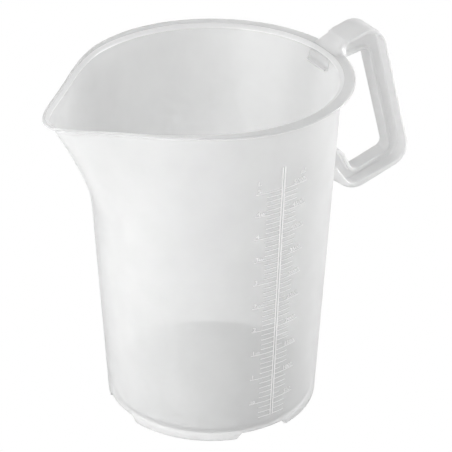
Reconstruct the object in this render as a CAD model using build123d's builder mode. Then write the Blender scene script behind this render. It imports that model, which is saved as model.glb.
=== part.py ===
"""Five-litre polypropylene measuring jug: a thin tapered body with a pouring spout, and a looped handle.

Millimetres. The origin is on the body's axis in the plane it stands on, +Z is up, the handle is on
the +X side, the spout points along -X and the graduated scale is on the -Y side.
"""
import os
from math import atan2, cos, hypot, pi, radians, sin

from build123d import *

# --- driving dimensions: body ---------------------------------------------------------------------
rim_height = 272.2        # top of the rim flange above the table
base_radius = 82.9        # outer wall at the table
mouth_radius = 97.2       # outer wall at the rim
wall = 2.0                # wall thickness
floor_underside = 5.7     # clearance under the floor
floor_thickness = 2.5
floor_fillet = 5.0        # inside corner between floor and wall
notch_width = 44.0        # four openings in the skirt, measured at the table
notch_slope = 4.0         # how much narrower each side is at the top
notch_height = 5.0
land_width = 34.0         # flat strip of wall that carries the handle
land_rise = 0.8

# --- driving dimensions: rim flange ---------------------------------------------------------------
flange_radius = 107.0
flange_thickness = 2.0
lug_fillet = 4.0          # plan rounding where the flange runs out under the handle

# --- driving dimensions: spout --------------------------------------------------------------------
spout_start = 165.0       # height where the wall begins to swell
spout_reach = 36.0        # swell at the lip, beyond the round wall
spout_power = 1.45        # the keel's curve
spout_half_angle = 16.5   # degrees from the keel to half the swell
spout_flange = 3.2        # flange beyond the wall along the spout
spout_dip = 8.0           # how far the lip drops at the tip
dip_start = 52.0          # distance from the axis where the lip starts to drop

# --- driving dimensions: handle -------------------------------------------------------------------
handle_width = 27.0       # outer flange of the handle
bead_width = 13.5         # inner bead of the handle
web_thickness = 6.0
skin = 3.0                # thickness of the outer flange and of the bead
bar_rise = 0.30           # slope of the top bar
bar_height = 7.8          # top bar above the rim where the ramp ends
ramp_start = 99.5         # the handle climbs off the flange between these two distances
ramp_end = 107.0
ramp_corner = 10.0
grip_slope = 0.27         # outward lean of the grip, going down
grip_reach = 147.0        # grip's outer face at rim height
grip_depth = 14.6         # grip's thickness along X
low_bar_height = 155.7    # lower bar's underside, measured at low_bar_reach
low_bar_reach = 137.3
low_bar_slope = 0.34
low_bar_depth = 12.8
root_slope = 0.77         # underside of the root, climbing towards the wall
root_height = 163.6       # underside of the root, measured at root_reach
root_reach = 102.8
root_top = 186.0          # top of the root at the wall
root_crest = 113.5        # where the root's top starts to fall
root_foot = 124.5         # where the root's top meets the lower bar
web_foot = 118.5          # where the web's recess starts to climb towards the wall
step_reach = 106.0        # the solid foot against the wall is this deep and this high
step_height = 173.0
bar_underside = 265.3     # underside of the top bar, measured at bar_underside_reach
bar_underside_reach = 119.0
bar_underside_slope = 0.19
outer_corner = 18.0
outer_low_corner = 17.0
root_corner = 22.0
crest_corner = 10.0
hole_corner = 6.0
recess_corner = 3.0
web_foot_corner = 8.0
step_corner = 4.0
step_edge = 1.0

# --- driving dimensions: tongue behind the rim ----------------------------------------------------
tongue_width = 26.0
tongue_thickness = 2.2
tongue_tip = 90.5         # distance from the axis to the tongue's free edge

# --- driving dimensions: graduated scale ----------------------------------------------------------
capacity = 5000           # ml at the top mark
first_mark = 200          # ml at the lowest mark
mark_step = 100
label_step = 500
scale_turn = 4.2          # degrees from -Y towards the handle
scale_rise = 0.35         # how far the marks stand off the wall
spine_gap = 2.1           # between the two upright lines
spine_foot = 17.0         # height where the upright lines start
spine_overrun = 18.0      # upright lines above the top mark
line_width = 0.6
short_mark = 11.5
long_mark = 20.0
stub_mark = 5.5           # the mark just above a numeral, cut short to clear it
digit_height = 3.6
digit_width = 2.0
digit_pitch = 3.2
stroke = 0.55

taper = (mouth_radius - base_radius) / rim_height
floor_top = floor_underside + floor_thickness
outline_points = 48
over = 4.0                # how far cutting shapes run past what they cut


def wall_radius(z):
    """Outer radius of the round wall at height z."""
    return base_radius + taper * z


def swell(angle, z):
    """Extra radius of the spout; angle is measured from -X in degrees."""
    if z <= spout_start or abs(angle) >= 90:
        return 0.0
    bell = 1 / (1 + (angle / spout_half_angle) ** 2)
    tail = 1 / (1 + (90 / spout_half_angle) ** 2)
    rise = ((z - spout_start) / (rim_height - spout_dip - spout_start)) ** spout_power
    return spout_reach * rise * (bell - tail) / (1 - tail)


def polar(angle, radius):
    """Point at an angle from -X, going towards -Y."""
    return (-radius * cos(radians(angle)), -radius * sin(radians(angle)))


def outline(z, inset=0.0):
    """Closed plan outline of the wall at height z, moved inwards by inset along its normal."""
    step = 360 / outline_points
    points = []
    for i in range(outline_points):
        angle = -180 + i * step
        here = polar(angle, wall_radius(z) + swell(angle, z))
        before = polar(angle - 0.5, wall_radius(z) + swell(angle - 0.5, z))
        after = polar(angle + 0.5, wall_radius(z) + swell(angle + 0.5, z))
        tx, ty = after[0] - before[0], after[1] - before[1]
        run = hypot(tx, ty)
        points.append((here[0] + inset * -ty / run, here[1] + inset * tx / run))
    return points


def lip_height(x):
    """Top of the rim at x: level round the back, falling towards the spout's tip."""
    run = mouth_radius + spout_reach - dip_start
    along = max(-x - dip_start, 0) / run
    return rim_height - spout_dip * along ** 1.25


def flange_outline():
    """Plan outline of the rim flange: narrow along the spout, full width round the back."""
    points = []
    full = flange_radius - mouth_radius
    for i in range(outline_points):
        angle = -180 + i * 360 / outline_points
        t = min(max((abs(angle) - 25) / 75, 0), 1)
        width = spout_flange + (full - spout_flange) * t * t * (3 - 2 * t)
        lip = rim_height - spout_dip * max(0.0, cos(radians(angle))) ** 6
        points.append(polar(angle, mouth_radius + swell(angle, lip) + width))
    return points


def mark_height(volume):
    """Height of the liquid's surface for a volume in ml, in the tapered body."""
    inner = base_radius - wall
    cube = (inner + taper * floor_top) ** 3 + 3 * taper * volume * 1000 / pi
    return (cube ** (1 / 3) - inner) / taper


def top_line(x):
    """Upper face of the handle's top bar."""
    return rim_height + bar_height + bar_rise * (x - ramp_end)


def bar_line(x):
    """Underside of the handle's top bar, and of the tongue in line with it."""
    return bar_underside + bar_underside_slope * (x - bar_underside_reach)


def low_line(x):
    """Underside of the handle's lower bar."""
    return low_bar_height + low_bar_slope * (x - low_bar_reach)


def root_line(x):
    """Underside of the handle's root."""
    return root_height - root_slope * (x - root_reach)


def at_grip(height_at, inset, shift=0.0):
    """Where a line, shifted upwards, meets the grip's outer face moved inwards by inset."""
    x = grip_reach
    for _ in range(60):
        x = grip_reach - inset + grip_slope * (rim_height - height_at(x) - shift)
    return (x, height_at(x) + shift)


# --- jug body -------------------------------------------------------------------------------------
swell_heights = [spout_start + (rim_height + over - spout_start) * i / 7 for i in range(8)]

def section(z, inset):
    """Face across the body at height z, moved inwards from the outer wall by inset."""
    with BuildSketch(Plane.XY.offset(z)) as across:
        with BuildLine():
            Spline(*outline(z, inset), periodic=True)
        make_face()
    return across.sketch.face()


floor_corner = [
    (floor_top + floor_fillet * (1 - cos(t)), wall + floor_fillet * (1 - sin(t)))
    for t in (0, pi / 8, pi / 4, 3 * pi / 8, pi / 2)
]

with BuildPart() as shell:
    loft([section(0, 0), section(spout_start, 0)], ruled=True)
    loft([section(z, 0) for z in swell_heights])

with BuildPart() as cavity:
    loft([section(z, inset) for z, inset in floor_corner])
    loft([section(floor_top + floor_fillet, wall), section(spout_start, wall)], ruled=True)
    loft([section(z, wall) for z in swell_heights])

half_width = handle_width / 2
lug_y = half_width + lug_fillet
lug_reach = ((flange_radius + lug_fillet) ** 2 - lug_y ** 2) ** 0.5
lug_turn = atan2(lug_y, lug_reach)
lug_arc = [
    (lug_reach - lug_fillet * cos(t), lug_y - lug_fillet * sin(t))
    for t in (lug_turn, (lug_turn + pi / 2) / 2, pi / 2)
]

front = -(mouth_radius + spout_reach) * 1.2
back = lug_reach + over
lip_line = [front + (-dip_start - front) * i / 6 for i in range(7)]
lip_line = [(x, lip_height(x)) for x in lip_line]

with BuildPart() as above_rim:
    with BuildSketch(Plane.XZ):
        with BuildLine():
            Spline(*lip_line)
            Polyline(lip_line[-1], (back, rim_height), (back, rim_height + 30), (front, rim_height + 30), lip_line[0])
        make_face()
    extrude(amount=flange_radius * 1.3, both=True)

with BuildPart() as flange:
    with BuildSketch(Plane.XY.offset(rim_height - 2 * spout_dip)):
        with BuildLine():
            Spline(*flange_outline(), periodic=True)
        make_face()
        with BuildLine():
            ThreePointArc(*lug_arc)
            Line(lug_arc[2], (lug_reach, -half_width))
            ThreePointArc(*[(x, -y) for x, y in reversed(lug_arc)])
            Polyline((lug_arc[0][0], -lug_arc[0][1]), (base_radius, 0), lug_arc[0])
        make_face()
    extrude(amount=2 * spout_dip + over)
    add(above_rim.part, mode=Mode.SUBTRACT)
    add(above_rim.part.moved(Location((0, 0, -flange_thickness))), mode=Mode.INTERSECT)

with BuildPart() as tongue:
    with BuildSketch(Plane.XZ):
        with BuildLine():
            Polyline(
                (tongue_tip, bar_line(tongue_tip)),
                (tongue_tip, bar_line(tongue_tip) + tongue_thickness),
                (ramp_start, bar_line(ramp_start) + 2 * tongue_thickness),
                (ramp_start, bar_line(ramp_start)),
                close=True,
            )
        make_face()
    extrude(amount=tongue_width / 2, both=True)

with BuildPart() as jug_body:
    add(shell.part)
    with BuildSketch(Plane.XY):
        Circle(base_radius + land_rise)
    with BuildSketch(Plane.XY.offset(rim_height)):
        Circle(mouth_radius + land_rise)
    land = loft(ruled=True, mode=Mode.PRIVATE)
    with Locations((mouth_radius, 0, rim_height / 2)):
        strip = Box(base_radius, land_width, rim_height, mode=Mode.PRIVATE)
    add(land & strip)
    add(above_rim.part, mode=Mode.SUBTRACT)
    add(flange.part)
    add(cavity.part, mode=Mode.SUBTRACT)
    with BuildSketch(Plane.XY):
        Circle(base_radius - wall)
    extrude(amount=floor_underside, mode=Mode.SUBTRACT)
    for plane in (Plane.XZ, Plane.YZ):
        with BuildSketch(plane):
            with BuildLine():
                Polyline(
                    (-notch_width / 2, 0),
                    (notch_slope - notch_width / 2, notch_height),
                    (notch_width / 2 - notch_slope, notch_height),
                    (notch_width / 2, 0),
                    close=True,
                )
            make_face()
        extrude(amount=2 * base_radius, both=True, mode=Mode.SUBTRACT)
    add(tongue.part, mode=Mode.SUBTRACT)
jug_body.part.label = "jug_body"

# --- handle ---------------------------------------------------------------------------------------
skin_rise = skin * (1 + bar_rise ** 2) ** 0.5
root_low = (root_line(0) - low_line(0)) / (low_bar_slope + root_slope)
recess_start = lug_reach + 0.5
outer_path = [
    (ramp_start, rim_height),
    (ramp_end, top_line(ramp_end)),
    at_grip(top_line, 0),
    at_grip(low_line, 0),
    (root_low, low_line(root_low)),
    (base_radius, root_line(base_radius)),
]
hole_path = [
    (base_radius, root_top),
    (root_crest, root_top),
    (root_foot, low_line(root_foot) + low_bar_depth),
    at_grip(low_line, grip_depth, low_bar_depth),
    at_grip(bar_line, grip_depth),
    (base_radius, bar_line(base_radius)),
]
recess_path = [
    (recess_start, top_line(recess_start) - skin_rise),
    at_grip(top_line, skin, -skin_rise),
    at_grip(low_line, skin, skin_rise),
    (web_foot, low_line(web_foot) + 2 * skin_rise),
    (step_reach, step_height),
    (base_radius, step_height + skin),
    (base_radius, root_top - skin),
    (recess_start, bar_line(recess_start) + skin),
]
recess_corners = [
    recess_corner,
    outer_corner - skin,
    outer_low_corner - skin,
    web_foot_corner,
    step_corner,
    step_edge,
    step_edge,
    recess_corner,
]

with BuildSketch(Plane.XZ) as hand_hole:
    with BuildLine():
        FilletPolyline(*hole_path, radius=[crest_corner, hole_corner, hole_corner, hole_corner])
        Line(hole_path[-1], hole_path[0])
    make_face()

with BuildSketch(Plane.XZ) as recess:
    with BuildLine():
        FilletPolyline(*recess_path, radius=recess_corners, close=True)
    make_face()

with BuildSketch(Plane.XZ) as web_recess:
    add(recess.sketch)
    add(offset(hand_hole.sketch, amount=skin, mode=Mode.PRIVATE), mode=Mode.SUBTRACT)

with BuildPart() as handle:
    with BuildSketch(Plane.XZ):
        with BuildLine():
            FilletPolyline(*outer_path, radius=[ramp_corner, outer_corner, outer_low_corner, root_corner])
            Polyline(outer_path[-1], (base_radius, rim_height), outer_path[0])
        make_face()
        add(hand_hole.sketch, mode=Mode.SUBTRACT)
    extrude(amount=half_width, both=True)
    for side in (-1, 1):
        for pocket, thickness in ((recess, bead_width), (web_recess, web_thickness)):
            with BuildSketch(Plane.XZ.offset(side * thickness / 2)):
                add(pocket.sketch)
            extrude(amount=side * handle_width, mode=Mode.SUBTRACT)
    with BuildSketch(Plane.XY.offset(-over)):
        Circle(wall_radius(-over) + land_rise)
    with BuildSketch(Plane.XY.offset(rim_height)):
        Circle(wall_radius(rim_height) + land_rise)
    loft(ruled=True, mode=Mode.SUBTRACT)
    add(flange.part, mode=Mode.SUBTRACT)
    add(tongue.part)
handle.part.label = "handle"

# --- graduated scale ------------------------------------------------------------------------------
glyphs = {
    "0": [[(0, 0), (1, 0), (1, 2), (0, 2), (0, 0)]],
    "1": [[(0.2, 1.6), (0.6, 2), (0.6, 0)]],
    "2": [[(0, 2), (1, 2), (1, 1), (0, 1), (0, 0), (1, 0)]],
    "3": [[(0, 2), (1, 2), (1, 0), (0, 0)], [(0.2, 1), (1, 1)]],
    "4": [[(0, 2), (0, 1), (1, 1)], [(1, 2), (1, 0)]],
    "5": [[(1, 2), (0, 2), (0, 1), (1, 1), (1, 0), (0, 0)]],
    "/": [[(0, 0), (1, 2)]],
    "L": [[(0, 2), (0, 0), (1, 0)]],
    "m": [[(0, 0), (0, 1), (1, 1), (1, 0)], [(0.5, 1), (0.5, 0)]],
    "l": [[(0, 0), (0, 2)]],
}


def write(text, x, z, size=1.0):
    """Pen strokes of a word, as lists of points: its left edge at x, its foot at z."""
    strokes = []
    for i, letter in enumerate(text):
        for line in glyphs[letter]:
            strokes.append([
                (x + size * (i * digit_pitch + u * digit_width), z + size * v * digit_height / 2)
                for u, v in line
            ])
    return strokes


scale_plane = Plane.XZ.rotated((0, 0, scale_turn))
top_mark = mark_height(capacity)
spine_height = top_mark + spine_overrun - spine_foot
marks = []
litre_strokes = write("L", -long_mark - digit_width, top_mark + 2 * digit_height)
millilitre_strokes = write("ml", long_mark - digit_width, top_mark + 2 * digit_height)
for volume in range(first_mark, capacity + mark_step, mark_step):
    height = mark_height(volume)
    labelled = volume % label_step == 0
    above_label = volume % label_step == mark_step and volume > label_step
    marks.append((height, -1, long_mark if labelled else short_mark))
    marks.append((height, 1, long_mark if labelled else stub_mark if above_label else short_mark))
    if labelled:
        litres, half = divmod(volume, 1000)
        whole = str(litres) if litres else ""
        litre_strokes += write(whole, -long_mark, height + line_width)
        if half:
            half_start = -long_mark + len(whole) * digit_pitch
            litre_strokes += write("1/2", half_start, height + line_width, 0.6)
        number_start = long_mark - len(str(volume)) * digit_pitch
        millilitre_strokes += write(str(volume), number_start, height + line_width)

with BuildPart() as mark_skin:
    loft([section(spine_foot - over, -scale_rise), section(spout_start, -scale_rise)], ruled=True)
    loft([section(z, -scale_rise) for z in swell_heights])
    add(shell.part, mode=Mode.SUBTRACT)

with BuildPart() as graduation_lines:
    with BuildSketch(scale_plane):
        with Locations(
            (-spine_gap / 2, spine_foot + spine_height / 2),
            (spine_gap / 2, spine_foot + spine_height / 2),
        ):
            Rectangle(line_width, spine_height)
        for height, side, length in marks:
            with Locations((side * (spine_gap / 2 + length / 2), height)):
                Rectangle(length, line_width)
    extrude(amount=mouth_radius + over)
    add(mark_skin.part, mode=Mode.INTERSECT)
graduation_lines.part.label = "graduation_lines"

with BuildPart() as litre_figures:
    with BuildSketch(scale_plane):
        for points in litre_strokes:
            with BuildLine() as pen:
                Polyline(*points)
            trace(pen.line, line_width=stroke)
    extrude(amount=mouth_radius + over)
    add(mark_skin.part, mode=Mode.INTERSECT)
litre_figures.part.label = "litre_figures"

with BuildPart() as millilitre_figures:
    with BuildSketch(scale_plane):
        for points in millilitre_strokes:
            with BuildLine() as pen:
                Polyline(*points)
            trace(pen.line, line_width=stroke)
    extrude(amount=mouth_radius + over)
    add(mark_skin.part, mode=Mode.INTERSECT)
millilitre_figures.part.label = "millilitre_figures"

os.makedirs("parts", exist_ok=True)
export_step(jug_body.part, "parts/jug_body.step")
export_step(handle.part, "parts/handle.step")
export_step(graduation_lines.part, "parts/graduation_lines.step")
export_step(litre_figures.part, "parts/litre_figures.step")
export_step(millilitre_figures.part, "parts/millilitre_figures.step")
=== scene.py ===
# %% [markdown]
# # A translucent measuring jug
#
# This lesson builds the looks of a tall measuring jug moulded in undyed polypropylene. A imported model
# gives the frame: every size and place below is in that frame, with the jug's axis on Z, the handle
# towards +X and the spout towards -X. The thin walls are milky, so light passes through two of them
# before it reaches the eye, and most of the work is in getting the walls' shape and their cloudiness
# right.

# %% Load the frame
from math import cos, pi, radians, sin

import bmesh
import bpy
import numpy as np
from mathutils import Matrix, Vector


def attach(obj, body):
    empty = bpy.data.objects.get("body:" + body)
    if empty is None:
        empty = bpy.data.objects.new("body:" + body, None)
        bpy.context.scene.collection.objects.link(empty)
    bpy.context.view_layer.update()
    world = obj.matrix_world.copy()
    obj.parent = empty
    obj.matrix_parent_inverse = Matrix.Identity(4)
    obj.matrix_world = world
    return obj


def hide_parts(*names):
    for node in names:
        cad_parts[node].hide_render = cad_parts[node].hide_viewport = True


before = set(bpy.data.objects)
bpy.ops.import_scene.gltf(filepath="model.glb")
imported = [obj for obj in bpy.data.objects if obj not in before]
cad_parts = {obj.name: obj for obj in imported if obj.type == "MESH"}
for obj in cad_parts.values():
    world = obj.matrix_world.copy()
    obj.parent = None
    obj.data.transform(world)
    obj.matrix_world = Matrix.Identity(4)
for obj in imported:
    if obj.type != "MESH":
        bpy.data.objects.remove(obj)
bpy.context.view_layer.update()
MM = 0.001
print("nodes:", sorted(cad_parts))

# %% [markdown]
# ## Camera
#
# A long lens stands well back and looks down at about 29 degrees, turned 29 degrees from the side with the
# scale towards the spout. A small sideways shift gives the handle its room in the picture.

# %% Camera
VIEW_TURN = radians(29)
VIEW_HEIGHT = radians(29.08)
AIM = Vector((0, 0, 0.1442))
DISTANCE = 1.532
LENS = 157.9
SENSOR = 36
SHIFT = 0.032
BACK = Vector((-sin(VIEW_TURN) * cos(VIEW_HEIGHT), -cos(VIEW_TURN) * cos(VIEW_HEIGHT), sin(VIEW_HEIGHT)))

camera = bpy.data.objects.new("camera", bpy.data.cameras.new("camera"))
bpy.context.scene.collection.objects.link(camera)
bpy.context.scene.camera = camera
camera.data.lens = LENS
camera.data.sensor_width = SENSOR
camera.data.shift_x = SHIFT
camera.location = AIM + BACK * DISTANCE
camera.rotation_mode = "QUATERNION"
camera.rotation_quaternion = (-BACK).to_track_quat("-Z", "Y")
print("camera at", [round(x, 3) for x in camera.location])

# %% [markdown]
# ## The jug's wall as a formula
#
# The body is a cone that widens upwards. The spout is a smooth swelling of that cone: it starts two
# thirds of the way up, grows faster than the height, and fades with the angle from the spout's middle.
# One formula for the radius at each angle and height gives the outer wall, the inner wall and the rim, so
# they always agree.

# %% Sizes of the body, in millimetres
RIM_HEIGHT = 272.2
BASE_RADIUS = 82.9
MOUTH_RADIUS = 97.2
WALL = 2.0
FLOOR_UNDERSIDE = 5.7
FLOOR_TOP = 8.2
FLOOR_FILLET = 5.0
NOTCH_WIDTH = 44.0
NOTCH_SLOPE = 4.0
NOTCH_HEIGHT = 5.0
SKIRT_INNER_ROUND = 0.7
SKIRT_OUTER_ROUND = 1.3
LAND_HALF_WIDTH = 17.0
LAND_RISE = 0.8
LAND_EDGE = 1.5
FLANGE_RADIUS = 107.0
FLANGE_THICKNESS = 2.0
FLANGE_FILLET = 1.2
SPOUT_START = 165.0
SPOUT_REACH = 36.0
SPOUT_POWER = 1.45
SPOUT_HALF_ANGLE = 16.5
SPOUT_FLANGE = 3.2
SPOUT_DIP = 8.0
DIP_START = 52.0
DIP_POWER = 1.25
LIP_ROUND = 3.0
LIP_EDGE = 0.6
LIP_FOOT = 2.0
HANDLE_ROOT_HALF_WIDTH = 12.0
AROUND = 640
TAPER = (MOUTH_RADIUS - BASE_RADIUS) / RIM_HEIGHT


def wall_radius(z):
    """Outer radius of the round wall."""
    return BASE_RADIUS + TAPER * z


def swell(angle, z):
    """Extra radius of the spout at angles from -X, in degrees."""
    bell = 1 / (1 + (angle / SPOUT_HALF_ANGLE) ** 2)
    tail = 1 / (1 + (90 / SPOUT_HALF_ANGLE) ** 2)
    share = np.clip(bell - tail, 0, None) / (1 - tail)
    rise = np.clip((z - SPOUT_START) / (RIM_HEIGHT - SPOUT_DIP - SPOUT_START), 0, None)
    return SPOUT_REACH * rise ** SPOUT_POWER * share


def lip_height(x):
    """Top of the rim: level round the back, falling towards the spout's tip."""
    along = np.clip(-x - DIP_START, 0, None) / (MOUTH_RADIUS + SPOUT_REACH - DIP_START)
    return RIM_HEIGHT - SPOUT_DIP * along ** DIP_POWER


angles = -180 + np.arange(AROUND) * 360 / AROUND
HALF_STEP = 0.5


def wall_point(z, outwards=0.0, angle=angles):
    """Points round the wall at heights z, moved outwards along the plan normal."""
    def plain(a):
        r = wall_radius(z) + swell(a, z)
        return np.stack([-r * np.cos(np.radians(a)), -r * np.sin(np.radians(a))])
    here, before, after = plain(angle), plain(angle - HALF_STEP), plain(angle + HALF_STEP)
    tangent = (after - before) / np.hypot(*(after - before))
    x = here[0] + outwards * tangent[1]
    y = here[1] - outwards * tangent[0]
    return np.stack([x, y, z + 0 * x], axis=1)


print("radius at the foot and mouth:", wall_radius(0), round(wall_radius(RIM_HEIGHT), 1))
print("spout reaches", round(float(swell(np.array(0.0), RIM_HEIGHT - SPOUT_DIP)), 1), "mm past the wall")

# %% [markdown]
# ## Rim
#
# The rim is a flat flange, wide round the back and narrow along the spout. Its top edge rolls over into
# the bore. The rim's height at each angle has to be found together with its place, because the rim dips
# with x and the wall leans outwards with height, so a few rounds of repetition settle both. Inside the
# handle's root the flange stops short, so that the two mouldings don't lie in each other.

# %% Rim rows
RIM_ROUNDS = 12
WIDENS_FROM = 25
WIDENS_OVER = 75
rim_z = np.full(AROUND, RIM_HEIGHT)
for _ in range(RIM_ROUNDS):
    rim_ring = wall_point(rim_z)
    rim_z = lip_height(rim_ring[:, 0])

blend_in = np.clip((np.abs(angles) - WIDENS_FROM) / WIDENS_OVER, 0, 1)
blend_in = blend_in * blend_in * (3 - 2 * blend_in)
flange_width = SPOUT_FLANGE + (FLANGE_RADIUS - MOUTH_RADIUS - SPOUT_FLANGE) * blend_in
under_handle = (np.abs(rim_ring[:, 1]) < HANDLE_ROOT_HALF_WIDTH) & (rim_ring[:, 0] > 0)
flange_width = np.where(under_handle, SPOUT_FLANGE, flange_width)
print("flange width from", flange_width.min(), "to", round(float(flange_width.max()), 2))

# %% [markdown]
# ## Foot
#
# The jug stands on a low skirt round a raised floor, and four notches let water out from under it. The
# notch's roof is a height for each angle, so the skirt's bottom edge simply follows it.

# %% Height of the skirt's bottom edge at each angle
def notch_roof(angle):
    """Height of the skirt's bottom edge at an angle from -X."""
    turn = (angle + 45) % 90 - 45
    across = np.abs(BASE_RADIUS * np.sin(np.radians(turn)))
    return NOTCH_HEIGHT * np.clip((NOTCH_WIDTH / 2 - across) / NOTCH_SLOPE, 0, 1)


skirt_z = notch_roof(angles)
print("skirt's lowest and highest edge:", skirt_z.min(), skirt_z.max())

# %% [markdown]
# ## Body mesh
#
# The body's closed skin is a stack of rings: from the middle of the underside, down the inside of the
# skirt, round its edge, up the outer wall, round the flange, over the lip, down the inner wall and across
# the floor. Each pair of rings is joined by a band of quads, and a fan closes each end.

# %% Rings from the underside to the flange
UNDERSIDE_RADII = (4, 20, 40, 60, 76, 79.5)
UNDERSIDE_DROP = 0.4
DROP_ENDS = 8
STRAIGHT_ROWS = 14
SPOUT_ROWS = 34


def flat_ring(radius, z):
    """A level circle."""
    a = np.radians(angles)
    return np.stack([-radius * np.cos(a), -radius * np.sin(a), 0 * a + z], axis=1)


def land(y):
    """How far the handle's land stands off the wall, by the sideways distance."""
    return LAND_RISE * np.clip((LAND_HALF_WIDTH + LAND_EDGE - np.abs(y)) / LAND_EDGE, 0, 1)


def outer(z):
    """A ring of the outer wall with the handle's land on it."""
    ring = wall_point(z)
    return wall_point(z, land(ring[:, 1]) * (ring[:, 0] > 0))


rings = [flat_ring(r, FLOOR_UNDERSIDE) for r in UNDERSIDE_RADII]
rings.append(flat_ring(BASE_RADIUS - WALL, FLOOR_UNDERSIDE - UNDERSIDE_DROP * (1 - skirt_z / DROP_ENDS)))
for turn in np.linspace(0, pi / 2, 4):
    z = skirt_z + SKIRT_INNER_ROUND * (1 - sin(turn))
    rings.append(wall_point(z, -WALL + SKIRT_INNER_ROUND * (1 - cos(turn))))
for turn in np.linspace(0, pi / 2, 5)[1:]:
    z = skirt_z + SKIRT_OUTER_ROUND * (1 - cos(turn))
    rings.append(wall_point(z, -SKIRT_OUTER_ROUND * (1 - sin(turn))))
for share in np.linspace(0, 1, STRAIGHT_ROWS)[1:]:
    rings.append(outer((skirt_z + SKIRT_OUTER_ROUND) * (1 - share) + SPOUT_START * share))
flange_foot = rim_z - FLANGE_THICKNESS
for share in np.linspace(0, 1, SPOUT_ROWS)[1:]:
    rings.append(outer(SPOUT_START + (flange_foot - FLANGE_FILLET - SPOUT_START) * share))
print(len(rings), "rings up to the flange")

# %% [markdown]
# The flange's own rings leave the wall by a small fillet, run out flat, turn round the edge, and come
# back to the lip, whose rounding ends on the inner wall.

# %% Rings of the flange and the lip
EDGE = FLANGE_THICKNESS / 2
FILLET_GAP = 0.05
FILLET_END = FLANGE_FILLET + FILLET_GAP


def at_rim(drop, outwards):
    """A ring on the rim: so far below its top, so far out from the wall's outer face at the top."""
    ring = wall_point(rim_z, outwards)
    ring[:, 2] = lip_height(ring[:, 0]) - drop
    return ring


for turn in np.linspace(0, pi / 2, 4)[1:]:
    drop = FLANGE_THICKNESS + FLANGE_FILLET * (1 - sin(turn))
    rings.append(at_rim(drop, FLANGE_FILLET * (1 - cos(turn)) + FILLET_GAP))
for share in (0.25, 0.6, 0.85):
    rings.append(at_rim(FLANGE_THICKNESS, FILLET_END + (flange_width - EDGE - FILLET_END) * share))
for turn in np.linspace(0, pi, 9):
    rings.append(at_rim(EDGE * (1 + cos(turn)), flange_width - EDGE + EDGE * sin(turn)))
for share in (0.3, 0.7):
    rings.append(at_rim(0, flange_width - EDGE + (LIP_ROUND - WALL + EDGE - flange_width) * share))
lip_start = len(rings)
for turn in np.linspace(0, pi / 4, 4):
    rings.append(at_rim(LIP_EDGE * (1 - cos(turn)), LIP_ROUND - WALL - LIP_EDGE * sin(turn)))
for turn in np.linspace(pi / 4, pi / 2, 4):
    rings.append(at_rim(LIP_ROUND - LIP_FOOT * cos(turn), LIP_FOOT * (1 - sin(turn)) - WALL))
lip_end = len(rings) - 1
print(len(rings), "rings up to the bore, of which the lip takes", lip_end - lip_start)

# %% Rings of the inner wall and the floor
FLOOR_RADII = (60, 40, 20, 4)
inner_top = rings[-1][:, 2]
for share in np.linspace(1, 0, SPOUT_ROWS)[1:]:
    rings.append(wall_point(SPOUT_START + (inner_top - SPOUT_START) * share, -WALL))
for share in np.linspace(1, 0, STRAIGHT_ROWS)[1:]:
    z = FLOOR_TOP + FLOOR_FILLET + (SPOUT_START - FLOOR_TOP - FLOOR_FILLET) * share
    rings.append(wall_point(z, -WALL))
for turn in np.linspace(0, pi / 2, 7)[1:]:
    z = FLOOR_TOP + FLOOR_FILLET * (1 - sin(turn))
    rings.append(wall_point(z, -WALL - FLOOR_FILLET * (1 - cos(turn))))
rings += [flat_ring(r, FLOOR_TOP) for r in FLOOR_RADII]
print(len(rings), "rings in all")


# %% Join the rings
def mesh_object(name, points, faces):
    """An object with this mesh, smooth shaded, given in millimetres."""
    mesh = bpy.data.meshes.new(name)
    mesh.from_pydata([tuple(p * MM) for p in points], [], faces)
    mesh.update()
    mesh.shade_smooth()
    obj = bpy.data.objects.new(name, mesh)
    bpy.context.scene.collection.objects.link(obj)
    return obj


def stack_rings(name, rings, bottom, top):
    """A closed skin over a stack of rings with a pole at each end."""
    n = len(rings[0])
    points = np.concatenate([*rings, [bottom], [top]])
    faces = []
    for k in range(len(rings) - 1):
        for i in range(n):
            j = (i + 1) % n
            faces.append((k * n + i, (k + 1) * n + i, (k + 1) * n + j, k * n + j))
    last = (len(rings) - 1) * n
    for i in range(n):
        j = (i + 1) % n
        faces.append((len(points) - 2, i, j))
        faces.append((len(points) - 1, last + j, last + i))
    return mesh_object(name, points, faces)


body = stack_rings("jug_shell", rings, (0, 0, FLOOR_UNDERSIDE), (0, 0, FLOOR_TOP))


def face_outwards(obj):
    """Turns a closed mesh's faces outwards, whatever way its rings ran, and returns its volume in cm3."""
    work = bmesh.new()
    work.from_mesh(obj.data)
    volume = work.calc_volume(signed=True)
    if volume < 0:
        bmesh.ops.reverse_faces(work, faces=work.faces)
        work.to_mesh(obj.data)
    work.free()
    return abs(volume) * 1e6


print("body volume", round(face_outwards(body), 1), "cm3,", len(body.data.polygons), "faces")

# %% [markdown]
# ## Handle
#
# The handle's loop comes ready from the model: a merged copy of that mesh keeps its T-shaped section.
# Where the top bar grows out of the rim, the moulding has no hard corner: it swells out of the flange
# like a saddle. So the copy is cut just past the rim, and a saddle, a block under it and the tongue
# inside the jug are made by formula. A voxel remesh melts the four into one skin, and a few rounds of
# smoothing soften every edge.

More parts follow.
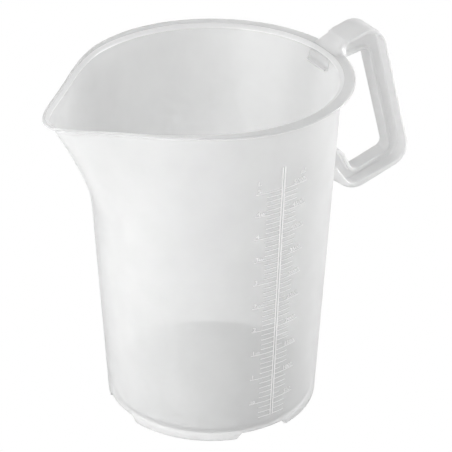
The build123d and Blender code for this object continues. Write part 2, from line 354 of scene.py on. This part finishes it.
# %% Sizes of the handle's root on the rim, in millimetres
HALF_WIDTH = 13.5
CUT_AT = 109.5
SADDLE_START = 98.3
SADDLE_SLOPE = 0.95
SADDLE_FLARE = 5.0
SADDLE_SINK = 0.3
SADDLE_SHOULDER = 2.0
SADDLE_UNDER = 1.5
SADDLE_EASE = 4.0
BAR_HEIGHT = 7.8
BAR_AT = 107.0
BAR_RISE = 0.30
UNDERSIDE_HEIGHT = 265.3
UNDERSIDE_AT = 119.0
UNDERSIDE_SLOPE = 0.19
TONGUE_TIP = 90.5
TONGUE_HALF_WIDTH = 13.0
TONGUE_THICKNESS = 2.2
FLUSH_RADIUS = 94.5
BLOCK_UNDER_LIP = 3.4
BLOCK_UNDER_RIM = 0.4
BLOCK_STEP = 0.2
OVERLAP = 0.5
TONGUE_OVERLAP = 1.5


def underside(x):
    """Height of the top bar's underside, which the tongue carries on inside the jug."""
    return UNDERSIDE_HEIGHT + UNDERSIDE_SLOPE * (x - UNDERSIDE_AT)


def saddle_rise(x):
    """How high the handle stands over the rim along its middle: a ramp that eases into the bar's line."""
    ramp = SADDLE_SLOPE * (x - SADDLE_START)
    bar = BAR_HEIGHT + BAR_RISE * (x - BAR_AT)
    return 0.5 * (ramp + bar - np.sqrt((ramp - bar) ** 2 + SADDLE_EASE))


def saddle_half_width(x):
    """Half width of the saddle's foot: it narrows along an arc from the flange's edge to the bar's side."""
    centre_y = HALF_WIDTH + SADDLE_FLARE
    centre_x = np.sqrt((FLANGE_RADIUS + SADDLE_FLARE) ** 2 - centre_y ** 2)
    run = np.clip(centre_x - x, 0, SADDLE_FLARE)
    return centre_y - np.sqrt(SADDLE_FLARE ** 2 - run ** 2)


print("bar starts", round(float(saddle_rise(CUT_AT)), 2), "mm over the rim")


# %% Closed solids over a grid
def grid_solid(xs, ys, top, bottom):
    """Points and faces of a closed solid between two heights over a grid, with a row of y for each x."""
    rows, columns = len(xs), len(ys[0])
    points = []
    for height in (top, bottom):
        for x, row in zip(xs, ys):
            points += [(x, y, height(x, y)) for y in row]
    half = rows * columns
    faces = []
    for i in range(rows - 1):
        for j in range(columns - 1):
            a, d = i * columns + j, i * columns + j + 1
            b, c = a + columns, d + columns
            faces += [(a, b, c, d), (half + d, half + c, half + b, half + a)]
    edge = list(range(columns))
    edge += [i * columns + columns - 1 for i in range(1, rows)]
    edge += [(rows - 1) * columns + j for j in reversed(range(columns - 1))]
    edge += [i * columns for i in reversed(range(1, rows - 1))]
    for a, b in zip(edge, edge[1:] + edge[:1]):
        faces.append((a, b, half + b, half + a))
    return points, faces


def saddle_top(x, y):
    """The saddle's surface: full height in the middle, easing down to the flange at its foot."""
    foot = float(saddle_half_width(x))
    flat = HALF_WIDTH - SADDLE_SHOULDER
    t = min(max((abs(y) - flat) / (foot - flat), 0), 1)
    return RIM_HEIGHT - SADDLE_SINK + (float(saddle_rise(x)) + SADDLE_SINK) * (1 - t) ** 2 * (1 + 2 * t)


def block_top(x, y):
    """The block stays under the lip inside the jug and meets the saddle outside it."""
    return RIM_HEIGHT - (BLOCK_UNDER_LIP if x < SADDLE_START else BLOCK_UNDER_RIM)


saddle_x = np.linspace(SADDLE_START - OVERLAP, CUT_AT + OVERLAP, 40)
saddle_y = [np.linspace(-1, 1, 61) * float(saddle_half_width(x)) for x in saddle_x]
block_x = (FLUSH_RADIUS, SADDLE_START - BLOCK_STEP, SADDLE_START + BLOCK_STEP, CUT_AT + OVERLAP)
block_y = [np.linspace(-HALF_WIDTH, HALF_WIDTH, 9)] * len(block_x)
block = grid_solid(block_x, block_y, block_top, lambda x, y: underside(x))
flush = [((FLUSH_RADIUS ** 2 - y * y) ** 0.5 if x == FLUSH_RADIUS else x, y, z) for x, y, z in block[0]]
tongue_x = (TONGUE_TIP, FLUSH_RADIUS + TONGUE_OVERLAP)
tongue_y = [(-TONGUE_HALF_WIDTH, 0, TONGUE_HALF_WIDTH)] * 2
root_solids = [
    grid_solid(saddle_x, saddle_y, saddle_top, lambda x, y: RIM_HEIGHT - SADDLE_UNDER),
    (flush, block[1]),
    grid_solid(tongue_x, tongue_y, lambda x, y: underside(x) + TONGUE_THICKNESS, lambda x, y: underside(x)),
]
print("root solids:", [len(faces) for _, faces in root_solids], "faces")

# %% Cut the copy and add the root
LOOP_TOP = 240.0
MERGE = 0.01
work = bmesh.new()
work.from_mesh(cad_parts["handle"].data)
bmesh.ops.remove_doubles(work, verts=work.verts, dist=MERGE * MM)
upper = {f for f in work.faces if any(v.co.z > LOOP_TOP * MM and v.co.x < CUT_AT * MM for v in f.verts)}
near_rim = list(upper)
near_rim += list({e for f in upper for e in f.edges})
near_rim += list({v for f in upper for v in f.verts})
cut_place = (CUT_AT * MM, 0, 0)
bmesh.ops.bisect_plane(work, geom=near_rim, plane_co=cut_place, plane_no=(1, 0, 0), clear_inner=True)
bmesh.ops.holes_fill(work, edges=[e for e in work.edges if e.is_boundary])
for points, faces in root_solids:
    corners = [work.verts.new(Vector(p) * MM) for p in points]
    for face in faces:
        work.faces.new([corners[k] for k in face])
bmesh.ops.recalc_face_normals(work, faces=work.faces)
mesh = bpy.data.meshes.new("grip_handle")
work.to_mesh(mesh)
work.free()
handle = bpy.data.objects.new("grip_handle", mesh)
bpy.context.scene.collection.objects.link(handle)
print("cut copy and root:", len(mesh.polygons), "faces")

# %% Melt them into one skin
VOXEL = 0.6
SOFTEN_ROUNDS = 3
EASE_ROUNDS = 30
EASE_ABOVE = 271.0
EASE_PAST_CUT = 4.0
melt = handle.modifiers.new("melt", "REMESH")
melt.mode = "VOXEL"
melt.voxel_size = VOXEL * MM
soften = handle.modifiers.new("soften", "SMOOTH")
soften.factor = 0.5
soften.iterations = SOFTEN_ROUNDS
bpy.context.view_layer.update()
evaluated = handle.evaluated_get(bpy.context.evaluated_depsgraph_get())
handle.data = bpy.data.meshes.new_from_object(evaluated)
handle.modifiers.clear()
handle.data.shade_smooth()
at_root = handle.vertex_groups.new(name="saddle")
ease_to = (CUT_AT + EASE_PAST_CUT) * MM
near = [v.index for v in handle.data.vertices if v.co.z > EASE_ABOVE * MM and v.co.x < ease_to]
at_root.add(near, 1.0, "REPLACE")
ease = handle.modifiers.new("ease", "SMOOTH")
ease.factor = 0.5
ease.iterations = EASE_ROUNDS
ease.vertex_group = "saddle"
print("handle:", len(handle.data.polygons), "faces,", round(face_outwards(handle), 1), "cm3")

# %% [markdown]
# ## Scale
#
# Two upright lines carry a mark for every tenth of a litre. The heights follow from the body's inner
# cone: the volume up to a height is that of a frustum, solved here for the height. Geometry Nodes place a
# bar on each mark's point and wrap all of it round the wall with rays, so the scale follows the body's
# real surface.

# %% Sizes of the scale, in millimetres
CAPACITY = 5000
FIRST_MARK = 200
MARK_STEP = 100
LABEL_STEP = 500
SCALE_TURN = radians(4.2)
SPINE_GAP = 2.1
SPINE_FOOT = 17.0
SPINE_OVERRUN = 18.0
LINE_WIDTH = 0.6
SHORT_MARK = 11.5
LONG_MARK = 20.0
STUB_MARK = 5.5
FIGURE_HEIGHT = 3.6
RISE = 0.35
WRAP_RADIUS = 90.0
RAY_START = 300.0
RAY_LENGTH = 400.0


def mark_height(volume):
    """Height of the surface for a volume in millilitres."""
    inner = BASE_RADIUS - WALL
    cube = (inner + TAPER * FLOOR_TOP) ** 3 + 3 * TAPER * volume * 1000 / pi
    return (cube ** (1 / 3) - inner) / TAPER


print("top mark at", round(mark_height(CAPACITY), 1), "mm")

# %% Where the bars go
bars = []
for volume in range(FIRST_MARK, CAPACITY + MARK_STEP, MARK_STEP):
    labelled = volume % LABEL_STEP == 0
    above_label = volume % LABEL_STEP == MARK_STEP and volume > LABEL_STEP
    left = LONG_MARK if labelled else SHORT_MARK
    right = LONG_MARK if labelled else STUB_MARK if above_label else SHORT_MARK
    bars.append((-SPINE_GAP / 2 - left / 2, mark_height(volume), left, LINE_WIDTH))
    bars.append((SPINE_GAP / 2 + right / 2, mark_height(volume), right, LINE_WIDTH))
spine_top = mark_height(CAPACITY) + SPINE_OVERRUN
for side in (-1, 1):
    middle = (SPINE_FOOT + spine_top) / 2
    bars.append((side * SPINE_GAP / 2, middle, LINE_WIDTH, spine_top - SPINE_FOOT))
print(len(bars), "bars on the scale")


# %% [markdown]
# The first tree turns each point into a bar: a finely cut box, scaled by the size that every point carries
# as an attribute. The second tree wraps anything laid out flat, with x along the wall and z up it, onto the
# wall. That turns the bars inside out, so their faces are turned back afterwards.

# %% Helpers for node trees
def new_tree(name, inputs):
    """A geometry node group with a geometry in and out and these named inputs."""
    tree = bpy.data.node_groups.new(name, "GeometryNodeTree")
    tree.interface.new_socket("Geometry", in_out="INPUT", socket_type="NodeSocketGeometry")
    tree.interface.new_socket("Geometry", in_out="OUTPUT", socket_type="NodeSocketGeometry")
    for label, kind in inputs:
        tree.interface.new_socket(label, in_out="INPUT", socket_type=kind)
    return tree, tree.nodes.new("NodeGroupInput"), tree.nodes.new("NodeGroupOutput")


def math_node(tree, operation, a, b=None):
    """A math node fed by sockets or numbers; returns its output."""
    node = tree.nodes.new("ShaderNodeMath")
    node.operation = operation
    for slot, value in enumerate([a] if b is None else [a, b]):
        if isinstance(value, (int, float)):
            node.inputs[slot].default_value = value
        else:
            tree.links.new(value, node.inputs[slot])
    return node.outputs[0]


def set_inputs(modifier, values):
    """Sets a modifier's inputs by their labels, through the sockets' identifiers."""
    for item in modifier.node_group.interface.items_tree:
        if item.item_type == "SOCKET" and item.in_out == "INPUT" and item.name in values:
            modifier[item.identifier] = values[item.name]


# %% Tree that sets a bar on each point
def bar_tree():
    """Each point becomes a box as long, high and thick as its attributes say."""
    tree, start, end = new_tree("set_bars", [("Finish", "NodeSocketMaterial")])
    cube = tree.nodes.new("GeometryNodeMeshCube")
    cube.inputs["Vertices X"].default_value = 9
    cube.inputs["Vertices Z"].default_value = 9
    size = tree.nodes.new("GeometryNodeInputNamedAttribute")
    size.data_type = "FLOAT_VECTOR"
    size.inputs["Name"].default_value = "bar_size"
    place = tree.nodes.new("GeometryNodeInstanceOnPoints")
    real = tree.nodes.new("GeometryNodeRealizeInstances")
    finish = tree.nodes.new("GeometryNodeSetMaterial")
    tree.links.new(start.outputs["Geometry"], place.inputs["Points"])
    tree.links.new(cube.outputs["Mesh"], place.inputs["Instance"])
    tree.links.new(size.outputs["Attribute"], place.inputs["Scale"])
    tree.links.new(place.outputs["Instances"], real.inputs["Geometry"])
    tree.links.new(real.outputs["Geometry"], finish.inputs["Geometry"])
    tree.links.new(start.outputs["Finish"], finish.inputs["Material"])
    tree.links.new(finish.outputs["Geometry"], end.inputs["Geometry"])
    return tree


# %% Tree that wraps a flat layout onto the wall
def wrap_tree():
    """x becomes a turn round the axis, z stays, and y is the height over the wall that a ray finds."""
    tree, start, end = new_tree("wrap_on_wall", [
        ("Wall", "NodeSocketObject"),
        ("Turn", "NodeSocketFloat"),
        ("Radius", "NodeSocketFloat"),
        ("Finish", "NodeSocketMaterial"),
    ])
    position = tree.nodes.new("GeometryNodeInputPosition")
    parts = tree.nodes.new("ShaderNodeSeparateXYZ")
    tree.links.new(position.outputs[0], parts.inputs[0])
    turn = math_node(tree, "DIVIDE", parts.outputs["X"], start.outputs["Radius"])
    turn = math_node(tree, "ADD", turn, start.outputs["Turn"])
    outwards = tree.nodes.new("ShaderNodeCombineXYZ")
    tree.links.new(math_node(tree, "SINE", turn), outwards.inputs["X"])
    tree.links.new(math_node(tree, "MULTIPLY", math_node(tree, "COSINE", turn), -1.0), outwards.inputs["Y"])
    from_far = tree.nodes.new("ShaderNodeVectorMath")
    from_far.operation = "SCALE"
    from_far.inputs["Scale"].default_value = RAY_START * MM
    tree.links.new(outwards.outputs[0], from_far.inputs[0])
    up = tree.nodes.new("ShaderNodeCombineXYZ")
    tree.links.new(parts.outputs["Z"], up.inputs["Z"])
    source = tree.nodes.new("ShaderNodeVectorMath")
    tree.links.new(from_far.outputs[0], source.inputs[0])
    tree.links.new(up.outputs[0], source.inputs[1])
    inwards = tree.nodes.new("ShaderNodeVectorMath")
    inwards.operation = "SCALE"
    inwards.inputs["Scale"].default_value = -1.0
    tree.links.new(outwards.outputs[0], inwards.inputs[0])
    target = tree.nodes.new("GeometryNodeObjectInfo")
    tree.links.new(start.outputs["Wall"], target.inputs["Object"])
    ray = tree.nodes.new("GeometryNodeRaycast")
    tree.links.new(target.outputs["Geometry"], ray.inputs["Target Geometry"])
    tree.links.new(source.outputs[0], ray.inputs["Source Position"])
    tree.links.new(inwards.outputs[0], ray.inputs["Ray Direction"])
    ray.inputs["Ray Length"].default_value = RAY_LENGTH * MM
    lift = tree.nodes.new("ShaderNodeVectorMath")
    lift.operation = "SCALE"
    tree.links.new(outwards.outputs[0], lift.inputs[0])
    tree.links.new(parts.outputs["Y"], lift.inputs["Scale"])
    landed = tree.nodes.new("ShaderNodeVectorMath")
    tree.links.new(ray.outputs["Hit Position"], landed.inputs[0])
    tree.links.new(lift.outputs[0], landed.inputs[1])
    move = tree.nodes.new("GeometryNodeSetPosition")
    tree.links.new(start.outputs["Geometry"], move.inputs["Geometry"])
    tree.links.new(landed.outputs[0], move.inputs["Position"])
    real = tree.nodes.new("GeometryNodeRealizeInstances")
    tree.links.new(move.outputs[0], real.inputs["Geometry"])
    finish = tree.nodes.new("GeometryNodeSetMaterial")
    tree.links.new(real.outputs["Geometry"], finish.inputs["Geometry"])
    tree.links.new(start.outputs["Finish"], finish.inputs["Material"])
    tree.links.new(finish.outputs["Geometry"], end.inputs["Geometry"])
    return tree


# %% [markdown]
# ## Plastic
#
# Undyed polypropylene is clear only in thin films. It could be made as glass filled with fog, but that is
# slow and noisy. Here a share of the light goes straight through the wall, and the rest is scattered by
# the milky plastic. Seen at a slant, the wall is a longer way through, so less goes straight on. A faint
# slow mottling varies the cloudiness as in a real moulding. The handle, the floor and the scale are
# thicker than the wall, so each has its own cloudiness. The colours also carry painted light: the floor
# is painted darker as painted shade, the rounded lip gets a near-white material as a painted highlight,
# and the handle is lighter, partly as thick plastic and partly as painted light that lifts its shade.

# %% Milky plastic
MOTTLE_SCALE = 18.0
MOTTLE = 0.12
SCATTER_REACH = 0.006


def milky(name, colour, straight, slanted, roughness, depth=1.0):
    """A translucent moulded plastic; straight and slanted are its cloudiness face on and at a slant."""
    material = bpy.data.materials.new(name)
    material.use_nodes = True
    nodes, links = material.node_tree.nodes, material.node_tree.links
    plastic = nodes["Principled BSDF"]
    plastic.inputs["Base Color"].default_value = (*colour, 1)
    plastic.inputs["Roughness"].default_value = roughness
    plastic.inputs["IOR"].default_value = 1.49
    plastic.inputs["Specular IOR Level"].default_value = 0.5
    plastic.inputs["Subsurface Weight"].default_value = depth
    plastic.inputs["Subsurface Radius"].default_value = (1.0, 1.0, 1.0)
    plastic.inputs["Subsurface Scale"].default_value = SCATTER_REACH
    place = nodes.new("ShaderNodeTexCoord")
    mottle = nodes.new("ShaderNodeTexNoise")
    mottle.inputs["Scale"].default_value = MOTTLE_SCALE
    mottle.inputs["Detail"].default_value = 3.0
    links.new(place.outputs["Object"], mottle.inputs["Vector"])
    slant = nodes.new("ShaderNodeLayerWeight")
    slant.inputs["Blend"].default_value = 0.4
    cloud = nodes.new("ShaderNodeMapRange")
    cloud.inputs["To Min"].default_value = straight
    cloud.inputs["To Max"].default_value = slanted
    links.new(slant.outputs["Facing"], cloud.inputs["Value"])
    vary = nodes.new("ShaderNodeMapRange")
    vary.inputs["To Min"].default_value = 1 - MOTTLE
    vary.inputs["To Max"].default_value = 1 + MOTTLE
    links.new(mottle.outputs["Fac"], vary.inputs["Value"])
    both = nodes.new("ShaderNodeMath")
    both.operation = "MULTIPLY"
    both.use_clamp = True
    links.new(cloud.outputs["Result"], both.inputs[0])
    links.new(vary.outputs["Result"], both.inputs[1])
    clear = nodes.new("ShaderNodeBsdfTransparent")
    mix = nodes.new("ShaderNodeMixShader")
    links.new(both.outputs[0], mix.inputs["Fac"])
    links.new(clear.outputs[0], mix.inputs[1])
    links.new(plastic.outputs[0], mix.inputs[2])
    links.new(mix.outputs[0], nodes["Material Output"].inputs["Surface"])
    return material


wall_plastic = milky("milky_wall_plastic", (0.8, 0.803, 0.803), 0.4, 0.85, 0.28)
# The handle's light colour is partly its thick plastic and partly painted light that lifts the shade in its
# recess and on the tongue.
handle_plastic_painted_light = milky("milky_handle_painted_light", (0.985, 0.987, 0.987), 0.74, 0.88, 0.28, depth=1.0)
# The floor's dark colour is painted shade, for the dimmer light under the jug and in its corner with the
# wall; its higher cloudiness comes from its greater thickness.
floor_plastic_painted_shade = milky("milky_floor_painted_shade", (0.62, 0.623, 0.623), 0.85, 0.9, 0.35)
# The lip's near-white colour, without scattering, is a painted highlight along the rounded lip.
lip_highlight_plastic = milky("milky_lip_painted_highlight", (0.97, 0.97, 0.97), 0.85, 0.95, 0.25, depth=0.0)
scale_plastic = milky("raised_scale_plastic", (0.95, 0.95, 0.95), 0.75, 0.9, 0.4, depth=0.0)
print("materials:", [m.name for m in bpy.data.materials])

# %% Finishes of the body and the handle
LIP_HIGHLIGHT_MATERIAL = 2
FLOOR_SHADE_MATERIAL = 1
body.data.materials.append(wall_plastic)
body.data.materials.append(floor_plastic_painted_shade)
body.data.materials.append(lip_highlight_plastic)
for face in body.data.polygons:
    # Faces of the floor take the material with the painted shade.
    if face.center.z < (FLOOR_TOP + 1) * MM and face.center.xy.length < (BASE_RADIUS - WALL - 2) * MM:
        face.material_index = FLOOR_SHADE_MATERIAL
    # The lip's rounding rings take the material with the painted highlight.
    elif lip_start <= face.index // AROUND < lip_end and face.center.z > FLOOR_TOP * MM:
        face.material_index = LIP_HIGHLIGHT_MATERIAL
handle.data.materials.append(handle_plastic_painted_light)
print("body finishes:", [m.name for m in body.data.materials])


# %% Build the bars and wrap them
def flat_bars(name, rows):
    """A mesh of loose points, one per bar, with each bar's size as an attribute."""
    mesh = bpy.data.meshes.new(name)
    mesh.from_pydata([(x * MM, RISE * MM / 2, z * MM) for x, z, _, _ in rows], [], [])
    sizes = mesh.attributes.new("bar_size", "FLOAT_VECTOR", "POINT")
    sizes.data.foreach_set("vector", [v * MM for _, _, w, h in rows for v in (w, RISE, h)])
    obj = bpy.data.objects.new(name, mesh)
    bpy.context.scene.collection.objects.link(obj)
    return obj


def run_tree(obj, tree, values):
    """Runs a tree on an object and keeps the result as its plain mesh."""
    modifier = obj.modifiers.new(tree.name, "NODES")
    modifier.node_group = tree
    set_inputs(modifier, values)
    bpy.context.view_layer.update()
    evaluated = obj.evaluated_get(bpy.context.evaluated_depsgraph_get())
    mesh = bpy.data.meshes.new_from_object(evaluated)
    obj.modifiers.clear()
    obj.data = mesh
    return obj


bars_on_points, wrap_on_wall = bar_tree(), wrap_tree()
wrapped = {"Wall": body, "Turn": SCALE_TURN, "Radius": WRAP_RADIUS * MM, "Finish": scale_plastic}
marks = flat_bars("scale_marks", bars)
marks = run_tree(marks, bars_on_points, {"Finish": scale_plastic})
marks = run_tree(marks, wrap_on_wall, wrapped)
print("scale marks:", len(marks.data.polygons), "faces,", round(face_outwards(marks), 2), "cm3")


# %% Numerals
CAPITAL_SHARE = 0.7
DIGIT_WIDTH = 2.7
HALF_SHARE = 0.6
HALF_SHIFT = 2.6
MILLILITRE_WIDTH = 5


def figures(name, labels):
    """Raised figures: each label is its text, its left edge and its foot, laid flat and then joined."""
    work = bmesh.new()
    for text, x, z, size in labels:
        curve = bpy.data.curves.new(name, "FONT")
        curve.body = text
        curve.size = size / CAPITAL_SHARE * MM
        curve.extrude = RISE / 2 * MM
        curve.resolution_u = 2
        word = bpy.data.objects.new(name, curve)
        bpy.context.scene.collection.objects.link(word)
        bpy.context.view_layer.update()
        mesh = bpy.data.meshes.new_from_object(word)
        for vertex in mesh.vertices:
            vx, vy, vz = vertex.co
            vertex.co = (vx + x * MM, vz + RISE / 2 * MM, vy + z * MM)
        work.from_mesh(mesh)
        bpy.data.objects.remove(word)
        bpy.data.meshes.remove(mesh)
    mesh = bpy.data.meshes.new(name)
    work.to_mesh(mesh)
    work.free()
    obj = bpy.data.objects.new(name, mesh)
    bpy.context.scene.collection.objects.link(obj)
    return run_tree(obj, wrap_on_wall, wrapped)


litres, millilitres = [], []
for volume in range(LABEL_STEP, CAPACITY + LABEL_STEP, LABEL_STEP):
    z = mark_height(volume) + LINE_WIDTH
    whole, half = divmod(volume, 1000)
    if whole:
        litres.append((str(whole), -LONG_MARK, z, FIGURE_HEIGHT))
    if half:
        litres.append(("1/2", -LONG_MARK + (HALF_SHIFT if whole else 0), z, FIGURE_HEIGHT * HALF_SHARE))
    digits = str(volume)
    millilitres.append((digits, LONG_MARK - DIGIT_WIDTH * len(digits), z, FIGURE_HEIGHT))
header = mark_height(CAPACITY) + 2 * FIGURE_HEIGHT
litres.append(("L", -LONG_MARK, header, FIGURE_HEIGHT))
millilitres.append(("ml", LONG_MARK - MILLILITRE_WIDTH, header, FIGURE_HEIGHT))
litre_figures = figures("litre_numerals", litres)
millilitre_figures = figures("millilitre_numerals", millilitres)
print("numerals:", len(litre_figures.data.polygons), len(millilitre_figures.data.polygons), "faces")

# %% [markdown]
# ## Ride and replace
#
# Every piece rides on the one body of the frame and stands for its CAD node, whose part is hidden.

# %% Tie the pieces to the frame
for piece, node, slot in (
    (body, "jug_body", "natural_body"),
    (handle, "handle", "natural_handle"),
    (marks, "graduation_lines", "raised_scale"),
    (litre_figures, "litre_figures", "raised_scale"),
    (millilitre_figures, "millilitre_figures", "raised_scale"),
):
    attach(piece, "root")
    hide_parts(node)
    print(piece.name, "stands for", node)

# %% [markdown]
# ## Stage and light
#
# A white floor and a white surround, as in a light tent, so that the walls are drawn by how much light
# passes through them. The surround is dimmer overhead, which leaves the rim and the floor a shade darker
# than the wall. The floor looks white to the camera but throws back less light, or it would wash out the
# thin edges.

# %% Floor, surround and lamps
FLOOR_HALF = 3000
FLOOR_BOUNCE = 0.45
floor_corners = np.array([(-1, -1, 0), (1, -1, 0), (1, 1, 0), (-1, 1, 0)]) * FLOOR_HALF
floor = mesh_object("studio_floor", floor_corners, [(0, 1, 2, 3)])
paper = bpy.data.materials.new("white_paper")
paper.use_nodes = True
nodes, links = paper.node_tree.nodes, paper.node_tree.links
sheet = nodes["Principled BSDF"]
sheet.inputs["Base Color"].default_value = (FLOOR_BOUNCE, FLOOR_BOUNCE, FLOOR_BOUNCE, 1)
sheet.inputs["Roughness"].default_value = 0.9
lit = nodes.new("ShaderNodeEmission")
seen = nodes.new("ShaderNodeLightPath")
mix = nodes.new("ShaderNodeMixShader")
links.new(seen.outputs["Is Camera Ray"], mix.inputs["Fac"])
links.new(sheet.outputs[0], mix.inputs[1])
links.new(lit.outputs[0], mix.inputs[2])
links.new(mix.outputs[0], nodes["Material Output"].inputs["Surface"])
floor.data.materials.append(paper)

TENT_SIDES = 0.96
TENT_TOP = 0.46
TENT_FADE = 0.9
world = bpy.data.worlds.new("white_tent")
world.use_nodes = True
sky, sky_links = world.node_tree.nodes, world.node_tree.links
direction = sky.new("ShaderNodeTexCoord")
height = sky.new("ShaderNodeSeparateXYZ")
fade = sky.new("ShaderNodeMapRange")
fade.inputs["From Min"].default_value = 0.0
fade.inputs["From Max"].default_value = TENT_FADE
fade.inputs["To Min"].default_value = TENT_SIDES
fade.inputs["To Max"].default_value = TENT_TOP
sky_links.new(direction.outputs["Generated"], height.inputs[0])
sky_links.new(height.outputs["Z"], fade.inputs["Value"])
sky_links.new(fade.outputs["Result"], sky["Background"].inputs["Strength"])
sky["Background"].inputs["Color"].default_value = (1, 1, 1, 1)
bpy.context.scene.world = world
bpy.context.scene.view_settings.view_transform = "Standard"


def soft_lamp(name, place, power, size):
    """A large square lamp aimed at the middle of the jug."""
    lamp = bpy.data.objects.new(name, bpy.data.lights.new(name, "AREA"))
    lamp.data.energy = power
    lamp.data.size = size
    lamp.location = place
    lamp.rotation_mode = "QUATERNION"
    lamp.rotation_quaternion = (AIM - Vector(place)).to_track_quat("-Z", "Y")
    bpy.context.scene.collection.objects.link(lamp)


soft_lamp("left_lamp", (-0.95, -0.45, 0.06), 9.5, 0.3)
soft_lamp("right_lamp", (1.05, -0.3, 0.3), 7.5, 0.25)
soft_lamp("spout_lamp", (-0.9, 0.3, 0.9), 2.0, 0.4)
print("stage set")
